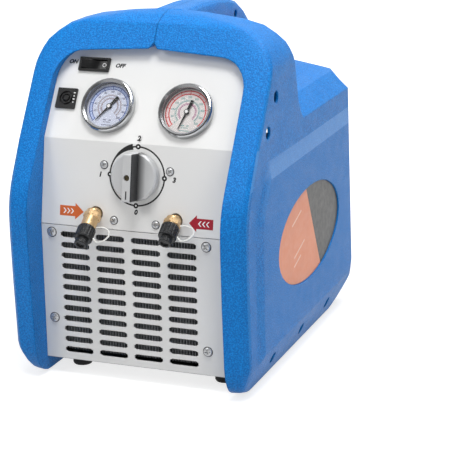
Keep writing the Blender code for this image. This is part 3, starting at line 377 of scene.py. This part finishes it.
def soft_shading():
    """Rounded faces shade as one: joined corners, with edges kept sharp by their bend."""
    group = bpy.data.node_groups.new("soft_shading", "GeometryNodeTree")
    for way in ("INPUT", "OUTPUT"):
        group.interface.new_socket("Geometry", in_out=way, socket_type="NodeSocketGeometry")
    start = group.nodes.new("NodeGroupInput")
    end = group.nodes.new("NodeGroupOutput")
    clear = group.nodes.new("GeometryNodeRemoveAttribute")
    clear.inputs["Name"].default_value = "custom_normal"
    weld = group.nodes.new("GeometryNodeMergeByDistance")
    weld.inputs["Distance"].default_value = 0.000005
    smooth = group.nodes.new("GeometryNodeSetShadeSmooth")
    smooth.domain = "FACE"
    crisp = group.nodes.new("GeometryNodeSetShadeSmooth")
    crisp.domain = "EDGE"
    crisp.inputs["Shade Smooth"].default_value = False
    bend = group.nodes.new("GeometryNodeInputMeshEdgeAngle").outputs["Unsigned Angle"]
    area = group.nodes.new("GeometryNodeFieldOnDomain")
    area.data_type = "FLOAT"
    area.domain = "FACE"
    group.links.new(group.nodes.new("GeometryNodeInputMeshFaceArea").outputs[0], area.inputs[0])

    def result(operation, *values):
        node = group.nodes.new("ShaderNodeMath")
        node.operation = operation
        for socket, value in zip(node.inputs, values):
            if isinstance(value, float):
                socket.default_value = value
            else:
                group.links.new(value, socket)
        return node.outputs[0]

    steep = result("GREATER_THAN", bend, math.radians(24))
    slight = result("GREATER_THAN", bend, math.radians(9.5))
    large = result("GREATER_THAN", area.outputs[0], 0.0003)
    group.links.new(result("MAXIMUM", steep, result("MULTIPLY", slight, large)), crisp.inputs["Selection"])
    chain = [start, clear, weld, smooth, crisp, end]
    for a, b in zip(chain, chain[1:]):
        group.links.new(a.outputs[0], b.inputs[0])
    return group


SOFT = soft_shading()
for _, names in FAMILIES:
    for name in names:
        obj = NODES[name]
        obj.modifiers.new("soft_shading", "NODES").node_group = SOFT
        weighted = obj.modifiers.new("weighted_normals", "WEIGHTED_NORMAL")
        weighted.keep_sharp = True


# ---------------------------------------------------------------- mesh helpers, in local millimetres

def slab(bm, outline, low, high):
    """A flat outline with a thickness."""
    rows = [[bm.verts.new((x, y, z)) for x, y in outline] for z in (low, high)]
    for i in range(len(outline)):
        j = (i + 1) % len(outline)
        bm.faces.new([rows[0][i], rows[0][j], rows[1][j], rows[1][i]])
    bm.faces.new(rows[0][::-1])
    bm.faces.new(rows[1])


def band(bm, inner, outer, start, end, low, high, steps=48):
    """A strip of a ring. inner and outer are radii or functions of the share of the way round."""
    closed = abs(abs(end - start) - 360) < 1e-6
    count = steps if closed else steps + 1
    rows = []
    for i in range(count):
        share = i / steps
        a = math.radians(start + (end - start) * share)
        radii = [r(share) if callable(r) else r for r in (inner, outer)]
        rows.append([bm.verts.new((r * math.cos(a), r * math.sin(a), z))
                     for r, z in ((radii[0], low), (radii[1], low), (radii[1], high), (radii[0], high))])
    pairs = list(zip(rows, rows[1:])) + ([(rows[-1], rows[0])] if closed else [])
    for a, b in pairs:
        for k in range(4):
            bm.faces.new([a[k], a[(k + 1) % 4], b[(k + 1) % 4], b[k]])
    if not closed:
        bm.faces.new(rows[0][::-1])
        bm.faces.new(rows[-1])


def lathe(bm, profile, steps):
    """A profile of radius and height, from the axis outwards and back to the axis."""
    rings = []
    for r, z in profile:
        if r == 0:
            rings.append([bm.verts.new((0, 0, z))])
        else:
            turns = [2 * math.pi * i / steps for i in range(steps)]
            rings.append([bm.verts.new((r * math.cos(t), r * math.sin(t), z)) for t in turns])
    for a, b in zip(rings, rings[1:]):
        for i in range(steps):
            j = (i + 1) % steps
            quad = [a[i % len(a)], a[j % len(a)], b[j % len(b)], b[i % len(b)]]
            face = [v for k, v in enumerate(quad) if v is not quad[k - 1]]
            if len(face) > 2:
                bm.faces.new(face)


def tick(bm, angle, inner, outer, width, low, high):
    a = math.radians(angle)
    out, side = Vector((math.cos(a), math.sin(a))), Vector((-math.sin(a), math.cos(a))) * (width / 2)
    slab(bm, [tuple(out * inner - side), tuple(out * outer - side), tuple(out * outer + side),
              tuple(out * inner + side)], low, high)


def words(bm, text, size, x, y, low, high, slant=0.0, weight=0.0):
    """Raised lettering in Blender's own plain font."""
    curve = bpy.data.curves.new("lettering", "FONT")
    curve.body = text
    curve.size = size
    curve.align_x = "CENTER"
    curve.align_y = "CENTER"
    curve.shear = slant
    curve.offset = weight
    curve.extrude = (high - low) / 2
    curve.resolution_u = 3
    obj = bpy.data.objects.new("lettering", curve)
    bpy.context.scene.collection.objects.link(obj)
    mesh = obj.evaluated_get(bpy.context.evaluated_depsgraph_get()).to_mesh().copy()
    mesh.transform(Matrix.Translation((x, y, (low + high) / 2)))
    bm.from_mesh(mesh)
    bpy.data.meshes.remove(mesh)
    bpy.data.objects.remove(obj)
    bpy.data.curves.remove(curve)


def mesh_of(name, bm):
    """Turns a working mesh into a kept one, and frees it."""
    mesh = bpy.data.meshes.new(name)
    bm.to_mesh(mesh)
    bm.free()
    return mesh


def placed(name, mesh):
    obj = bpy.data.objects.new(name, mesh)
    bpy.context.scene.collection.objects.link(obj)
    return obj


def piece(name, bm, matrix, material, body="machine", smooth=False):
    """A finished detail, made in local millimetres, which rides on its body."""
    bmesh.ops.recalc_face_normals(bm, faces=bm.faces)
    mesh = mesh_of(name, bm)
    mesh.transform(matrix @ Matrix.Scale(MM, 4))
    if smooth:
        mesh.shade_smooth()
        mesh.set_sharp_from_angle(angle=math.radians(40))
    else:
        mesh.shade_flat()
    mesh.materials.append(material)
    obj = placed(name, mesh)
    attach(obj, body)


def add_copy(bm, mesh, matrix):
    """Adds a moved copy of a mesh to a working mesh."""
    copy = mesh.copy()
    copy.transform(matrix)
    bm.from_mesh(copy)
    bpy.data.meshes.remove(copy)


def circle(cx, cy, radius, count):
    turns = [2 * math.pi * i / count for i in range(count)]
    return [(cx + radius * math.cos(t), cy + radius * math.sin(t)) for t in turns]


def box_outline(cx, cy, w, h):
    x0, x1, y0, y1 = cx - w / 2, cx + w / 2, cy - h / 2, cy + h / 2
    return [(x0, y0), (x1, y0), (x1, y1), (x0, y1)]


PRINT = (-0.03, 0.07)  # a print reaches just into the face it lies on


# ---------------------------------------------------------------- gauges

DIAL_STEPS = 11
DIAL_STEP_TURN = 27  # degrees between two numbers


def gauge_prints(name, look):
    """A plain dial: a band between two lines, numbers, and two finer scales inside."""
    spot = top_frame(*GAUGE_AT[name])
    low, high = -0.75, -0.6
    inner, outer, thick = look["band"]
    bm = bmesh.new()
    band(bm, inner, outer, -45, 225, low, -0.66, 60)
    piece(name + "_dial_band", bm, spot, look["tint"])
    bm = bmesh.new()
    for radius in (inner, outer):
        band(bm, radius - thick / 2, radius + thick / 2, -45, 225, low, high, 60)
    for i in range(DIAL_STEPS):
        tick(bm, 225 - DIAL_STEP_TURN * i, inner - 1.0, outer + 0.9, 0.5, low, high)
    piece(name + "_dial_scale", bm, spot, look["line"])
    bm = bmesh.new()
    for i in range(DIAL_STEPS):
        a = math.radians(225 - DIAL_STEP_TURN * i)
        x, y = 15.2 * math.cos(a), 15.2 * math.sin(a)
        words(bm, str(look["step"] * i), 2.7, x, y, low, high, weight=0.06)
    piece(name + "_dial_numbers", bm, spot, look["number"])
    for k, (radius, reach, colour) in enumerate(look["scales"]):
        bm = bmesh.new()
        band(bm, radius - 0.25, radius + 0.25, -45, 225, low, high)
        for i in range(46):
            tick(bm, 225 - 6 * i, radius, radius + reach * (1.0 if i % 5 == 0 else 0.7), 0.5, low, high)
        piece(f"{name}_dial_inner_{k + 1}", bm, spot, colour)
    bm = bmesh.new()
    for x, y, wide, tall in ((-2.4, -13.5, 3.4, 1.0), (2.8, -13.5, 2.6, 1.0), (0, -15.6, 7.2, 0.6),
                             (0, -18.6, 10.0, 0.7)):
        slab(bm, box_outline(x, y, wide, tall), low, high)
    piece(name + "_dial_marks", bm, spot, look["number"])
    needle = name + "_needle"
    bm = bmesh.new()
    lathe(bm, [(0, 2.12), (2.4, 2.1), (2.4, 1.85), (0, 1.85)], 24)
    piece(needle + "_hub", bm, spot, NEEDLE, body=needle)
    bm = bmesh.new()
    lathe(bm, [(0, 2.45), (1.4, 2.4), (1.75, 2.15), (1.75, 2.05), (0, 2.05)], 24)
    piece(needle + "_cap", bm, spot, INK_WHITE, body=needle, smooth=True)


gauge_prints("left", {"band": (18.0, 20.8, 0.7), "line": INK_BLUE, "tint": INK_SKY, "number": INK_SLATE,
                      "step": 20, "scales": ((11.4, 2.1, INK_PINK), (8.0, 2.2, INK_PINK))})
gauge_prints("right", {"band": (18.4, 21.6, 1.0), "line": INK_RED, "tint": INK_ROSE, "number": INK_TEAL,
                       "step": 50, "scales": ((11.4, 2.1, INK_TEAL), (8.0, 2.2, INK_PLUM))})


# ---------------------------------------------------------------- screws

def cut_with(obj, cutter):
    """Cuts a hole, and keeps the cutter's colour inside it."""
    mod = obj.modifiers.new("recess", "BOOLEAN")
    mod.solver = "EXACT"
    mod.object = cutter
    bpy.context.view_layer.update()
    mesh = bpy.data.meshes.new_from_object(obj.evaluated_get(bpy.context.evaluated_depsgraph_get()))
    obj.modifiers.clear()
    old = obj.data
    obj.data = mesh
    bpy.data.meshes.remove(old)
    bpy.data.objects.remove(cutter)


def loose(name, bm, material):
    bmesh.ops.recalc_face_normals(bm, faces=bm.faces)
    mesh = mesh_of(name, bm)
    mesh.materials.append(material)
    return placed(name, mesh)


SCREW_TURNS = (20, 65, 40, 5)  # degrees, so that no two neighbours stand alike


def head_mesh(radius, height):
    """A domed cross-head screw, standing on local Z zero."""
    bm = bmesh.new()
    lathe(bm, [(0, height), (radius * 0.45, height * 0.96), (radius * 0.75, height * 0.8),
               (radius * 0.94, height * 0.45), (radius, -0.2), (0, -0.2)], 28)
    head = loose("head", bm, SCREW)
    bm = bmesh.new()
    half, wide = radius * 0.6, radius * 0.11
    cross = [(-half, -wide), (-wide, -wide), (-wide, -half), (wide, -half), (wide, -wide), (half, -wide),
             (half, wide), (wide, wide), (wide, half), (-wide, half), (-wide, wide), (-half, wide)]
    slab(bm, cross, height * 0.25, height + 1)
    # painted shade: the cross keeps the cutter's grey inside it
    cut_with(head, loose("cross", bm, SHADE_AND_MARK_GREY))
    mesh = head.data
    bpy.data.objects.remove(head)
    return mesh


def screws(name, frames, radius, height, finish=None):
    """A row of screw heads, each on a thin grey disc of painted shade."""
    source = head_mesh(radius, height)
    bm = bmesh.new()
    for i, matrix in enumerate(frames):
        turn = Matrix.Rotation(math.radians(SCREW_TURNS[i % len(SCREW_TURNS)]), 4, "Z")
        add_copy(bm, source, matrix @ turn @ Matrix.Scale(MM, 4))
    mesh = mesh_of(name, bm)
    mesh.shade_smooth()
    mesh.set_sharp_from_angle(angle=math.radians(35))
    for material in (finish or SCREW, SHADE_AND_MARK_GREY):
        mesh.materials.append(material)
    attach(placed(name, mesh), "machine")
    # painted shade: a thin grey disc under each head stands in for the shadow round it
    bm = bmesh.new()
    slab(bm, circle(0, 0, radius + 0.55, 28), -0.05, 0.12)
    disc = mesh_of("disc", bm)
    bm = bmesh.new()
    for matrix in frames:
        add_copy(bm, disc, matrix @ Matrix.Scale(MM, 4))
    bpy.data.meshes.remove(disc)
    piece(name + "_shade_discs", bm, Matrix.Scale(1 / MM, 4), SHADE_AND_MARK_GREY)


screws("grille_screws", [front_frame(x, z) for x, z in GRILLE_SCREWS], 4.6, 2.2)
screws("panel_screws", [mid_frame(x, z) for x, z in PANEL_SCREWS], 3.7, 1.9)


# ---------------------------------------------------------------- prints on the control panel

RING_MID = 28.2  # the ring round the knob, to the middle of its line


def selector_prints():
    """A ring with four marks, plain numbers, and a wedge that widens between two of the marks."""
    spot = mid_frame(0, KNOB_Z)
    corners = [(RING_MID * math.cos(math.radians(a)), RING_MID * math.sin(math.radians(a)))
               for a in (0, 90, 180, 270)]
    bm = bmesh.new()
    band(bm, 27.4, 28.9, 0, 360, *PRINT, 96)
    for x, y in corners:
        slab(bm, circle(x, y, 2.6, 20), PRINT[0], 0.11)
    band(bm, lambda s: 28.0 - 2.6 * s, lambda s: 28.5 + 2.6 * s, 158, 101, PRINT[0], 0.09, 24)
    piece("selector_ring_print", bm, spot, INK_BLACK)
    bm = bmesh.new()
    for x, y in corners:
        slab(bm, circle(x, y, 0.85, 14), PRINT[0], 0.15)
    piece("selector_dots", bm, spot, INK_WHITE)
    bm = bmesh.new()
    for text, x, y in (("0", 0, -34.6), ("1", -38.5, -1.0), ("2", 0.5, 36.0), ("3", 38.0, -1.0)):
        words(bm, text, 6.4, x, y, *PRINT, slant=0.2, weight=0.36)
    piece("selector_numbers", bm, spot, INK_BLACK)


ARROW_HALF = 4.95  # half height of the shaft
ARROW_HEAD_HALF = 8.0


def arrow_print(name, tail, neck, tip, z, colour):
    """A flow arrow, with plain chevrons where words could go."""
    spot = mid_frame(0, SEAM_Z)
    up = (z - SEAM_Z) / math.cos(LEAN_MID)
    low, high = up - ARROW_HALF, up + ARROW_HALF
    bm = bmesh.new()
    slab(bm, [(tail, low), (neck, low), (neck, up - ARROW_HEAD_HALF), (tip, up),
              (neck, up + ARROW_HEAD_HALF), (neck, high), (tail, high)], *PRINT)
    piece(name, bm, spot, colour)
    bm = bmesh.new()
    way = 1 if tip > tail else -1
    r = ARROW_HALF * 0.52
    for i in range(3):
        x = min(tail, neck) + abs(neck - tail) * (0.22 + 0.24 * i)
        slab(bm, [(x, up + r), (x + 1.3, up + r), (x + 1.3 + way * 2.2, up), (x + 1.3, up - r), (x, up - r),
                  (x + way * 2.2, up)], PRINT[0], 0.12)
    piece(name + "_chevrons", bm, spot, INK_WHITE)


def switch_prints():
    bm = bmesh.new()
    for text, x, y in (("ON", -85.4, 79.2), ("OFF", -35.2, 77.4)):
        words(bm, text, 5.6, x, y, *PRINT, slant=0.25, weight=0.3)
    piece("switch_words", bm, top_frame(0, 0), INK_BLACK)


selector_prints()
arrow_print("in_arrow", -79.6, -63.3, -54.3, 168.6, INK_ORANGE)
arrow_print("out_arrow", 79.5, 62.8, 55.1, 167.3, INK_CRIMSON)
switch_prints()


# ---------------------------------------------------------------- rocker, breaker and knob details

def rocker_marks():
    """A small ring at the off end, lying on the rocker's slope."""
    pivot = top_frame(*SWITCH_AT) @ Matrix.Translation(Vector((0, 0, -1)) * MM)
    tilted = pivot @ Matrix.Rotation(math.radians(ROCKER_TILT), 4, "Y")
    slope = Matrix.Rotation(-math.atan2(1.2, 6.4), 4, "Y")
    end = tilted @ Matrix.Translation(Vector((9.6, 0, ROCKER_TOP)) * MM) @ slope
    bm = bmesh.new()
    band(bm, 1.5, 2.0, 0, 360, -0.12, 0.06, 28)
    piece("rocker_off_mark", bm, end, INK_WHITE, body="rocker")


NUT_R = 6.3  # to its corners
NUT_BORE_R = 4.0
NUT_TURN = 0.3  # radians


def breaker_details():
    """The six-sided nut round the breaker's button, and a few plain marks beside it."""
    spot = top_frame(*BREAKER_AT)
    bm = bmesh.new()
    low, high = 1.15, 2.9
    rows = []
    for i in range(24):
        t = 2 * math.pi * i / 24 + NUT_TURN
        k = (t - NUT_TURN) % (math.pi / 3) - math.pi / 6
        r = NUT_R * math.cos(math.pi / 6) / math.cos(k)
        profile = ((NUT_BORE_R, low), (r, low), (r, high - 0.4), (r * 0.93, high), (NUT_BORE_R, high))
        rows.append([bm.verts.new((d * math.cos(t), d * math.sin(t), z)) for d, z in profile])
    for a, b in zip(rows, rows[1:] + rows[:1]):
        for k in range(5):
            bm.faces.new([a[k], a[(k + 1) % 5], b[(k + 1) % 5], b[k]])
    piece("breaker_nut", bm, spot, BLACK)
    bm = bmesh.new()
    for i, wide in enumerate((2.0, 1.2, 2.0, 1.2)):
        slab(bm, box_outline(8.0, 5.6 - 3.2 * i, wide, 0.9), 2.75, 2.86)
    piece("breaker_marks", bm, spot, INK_WHITE)


def knob_screw():
    """The slotted screw in the knob's grip, and the pointer line below it."""
    spot = mid_frame(0, KNOB_Z)
    bm = bmesh.new()
    lathe(bm, [(0, 24.0), (2.2, 24.0), (2.75, 23.5), (2.75, 21.0), (0, 21.0)], 24)
    head = loose("knob_screw_blank", bm, DARK_BRASS)
    bm = bmesh.new()
    slab(bm, box_outline(0, 0, 7, 0.7), 23.2, 26)
    # painted shade: the slot keeps the cutter's grey inside it
    cut_with(head, loose("knob_screw_slot", bm, SHADE_AND_MARK_GREY))
    mesh = head.data
    bpy.data.objects.remove(head)
    mesh.transform(spot @ Matrix.Rotation(0.6, 4, "Z") @ Matrix.Scale(MM, 4))
    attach(placed("knob_screw", mesh), "selector")
    bm = bmesh.new()
    slab(bm, box_outline(0, -16.5, 1.2, 7.8), 24.75, 24.95)
    piece("knob_pointer_line", bm, spot, SHADE_AND_MARK_GREY, body="selector")


rocker_marks()
breaker_details()
knob_screw()


# ---------------------------------------------------------------- side details

def side_details(sign, name):
    """The screws of one side, and the plain lines on its inlay."""
    def put(label, frames, radius, height):
        # these side screws take the nearly black screw colour, painted shade of their holes
        screws(f"{name}_{label}", frames, radius, height, finish=SCREW_IN_SHADE)

    put("flank_screws", [side_frame(sign, FLANK_SEAT, y, z) for y, z in FLANK_HOLES], 4.0, 1.8)
    put("rail_screws", [side_frame(sign, RAIL_HALF - 4.6, y, RAIL_Z + 1.7, -RAIL_LEAN) for y in RAIL_HOLES],
        4.0, 1.6)
    put("handle_screw", [side_frame(sign, 17.2, *HANDLE_SCREW)], 3.2, 1.4)
    bm = bmesh.new()
    a = math.radians(18)
    for y, z, length in ((118, 146, 30), (126, 112, 34), (120, 101, 22)):
        ends = Vector((sign * math.cos(a), math.sin(a))) * length / 2
        wide = Vector((-sign * math.sin(a), math.cos(a))) * 0.8
        c = Vector((sign * (y - OVAL_MID[0]), z - OVAL_MID[1]))
        slab(bm, [tuple(c - ends - wide), tuple(c + ends - wide), tuple(c + ends + wide),
                  tuple(c - ends + wide)], -0.03, 0.08)
    piece(name + "_inlay_lines", bm, side_frame(sign, OVAL_FLOOR, *OVAL_MID), INK_PALE)


side_details(1, "right")
side_details(-1, "left")


# ---------------------------------------------------------------- stage, light and camera

def stage():
    """A pale floor, white where the camera or a gloss sees it, that keeps the object's shadow."""
    bm = bmesh.new()
    bmesh.ops.create_grid(bm, x_segments=1, y_segments=1, size=12)
    mesh = mesh_of("floor", bm)
    floor = placed("floor", mesh)
    floor.location.z = -0.0004
    m = Nodes(bpy.data.materials.new("pale_floor"))
    m.tree.nodes.remove(m.shader)
    place = m.coords()
    lit = m.add("ShaderNodeBsdfDiffuse")
    lit.inputs["Color"].default_value = (0.42, 0.42, 0.42, 1)
    glow = m.add("ShaderNodeEmission")
    glow.inputs["Color"].default_value = (1, 1, 1, 1)
    reach = m.add("ShaderNodeVectorMath", operation="LENGTH")
    m.link(place, reach.inputs[0])
    m.link(m.spread(reach.outputs["Value"], 0.3, 1.0, 0.74, 1.02), glow.inputs["Strength"])
    behind = m.spread(m.axes(place)["Y"], -0.9, 0.1, 0.3, 1.0)
    path = m.add("ShaderNodeLightPath").outputs
    gloss = m.math("MULTIPLY", path["Is Glossy Ray"], behind)
    seen = m.math("MAXIMUM", m.math("MAXIMUM", path["Is Camera Ray"], gloss), path["Is Transmission Ray"])
    bounce = m.add("ShaderNodeBsdfDiffuse")
    bounce.inputs["Color"].default_value = (0.5, 0.5, 0.5, 1)
    both = m.add("ShaderNodeAddShader")
    m.link(lit.outputs[0], both.inputs[0])
    m.link(glow.outputs[0], both.inputs[1])
    pick = m.add("ShaderNodeMixShader")
    for socket, value in zip(pick.inputs, (seen, bounce.outputs[0], both.outputs[0])):
        m.link(value, socket)
    m.link(pick.outputs[0], m.tree.nodes["Material Output"].inputs["Surface"])
    mesh.materials.append(m.owner)


def world():
    """White for the camera, a plain level of light, and a room that is darker in front for glosses."""
    studio = bpy.data.worlds.new("studio")
    bpy.context.scene.world = studio
    m = Nodes(studio)
    back = m.tree.nodes["Background"]
    back.inputs["Color"].default_value = (1, 1, 1, 1)
    path = m.add("ShaderNodeLightPath").outputs
    seen = m.math("MAXIMUM", path["Is Camera Ray"], path["Is Transmission Ray"])
    way = m.axes(m.add("ShaderNodeTexCoord").outputs["Generated"])
    room = m.spread(way["Y"], -0.4, 0.5, -0.2, 0.65)
    level = m.math("MULTIPLY_ADD", path["Is Glossy Ray"], room, 0.32)
    m.link(m.math("MAXIMUM", seen, level), back.inputs["Strength"])


def lamp(name, place, target, size, power):
    """A round soft lamp: its diameter in metres and its power in watts."""
    data = bpy.data.lights.new(name, "AREA")
    data.shape = "DISK"
    data.size = size
    data.energy = power
    obj = placed(name, data)
    obj.location = place
    obj.rotation_euler = (Vector(target) - Vector(place)).to_track_quat("-Z", "Y").to_euler()


CAMERA_AT = (0.6353, -1.5620, 0.6120)
CAMERA_TURN = (20.64, 16.62, 0.80)  # yaw, pitch and roll in degrees, fitted to the photograph
CAMERA_LENS = 129.6


def camera():
    yaw, pitch, roll = (math.radians(a) for a in CAMERA_TURN)
    ahead = Vector((-math.sin(yaw) * math.cos(pitch), math.cos(yaw) * math.cos(pitch), -math.sin(pitch)))
    level = Vector((math.cos(yaw), math.sin(yaw), 0))
    below = ahead.cross(level)
    right = math.cos(roll) * level + math.sin(roll) * below
    down = -math.sin(roll) * level + math.cos(roll) * below
    data = bpy.data.cameras.new("camera")
    data.sensor_width = 36
    data.lens = CAMERA_LENS
    data.clip_end = 50
    obj = placed("camera", data)
    turn = Matrix((right, -down, -ahead)).transposed().to_4x4()
    obj.matrix_world = Matrix.Translation(CAMERA_AT) @ turn
    bpy.context.scene.camera = obj


stage()
world()
lamp("key", (-1.1, -1.7, 1.7), (0, 0, 0.2), 1.0, 12)
lamp("fill", (1.6, -1.8, 0.5), (0, 0, 0.1), 1.2, 8)
lamp("rim", (0.55, 0.7, 2.0), (0.1, 0, 0.2), 0.7, 22)
lamp("top", (0.2, -0.7, 2.1), (0, 0, 0.2), 0.9, 27)
camera()
bpy.context.scene.view_settings.view_transform = "Standard"
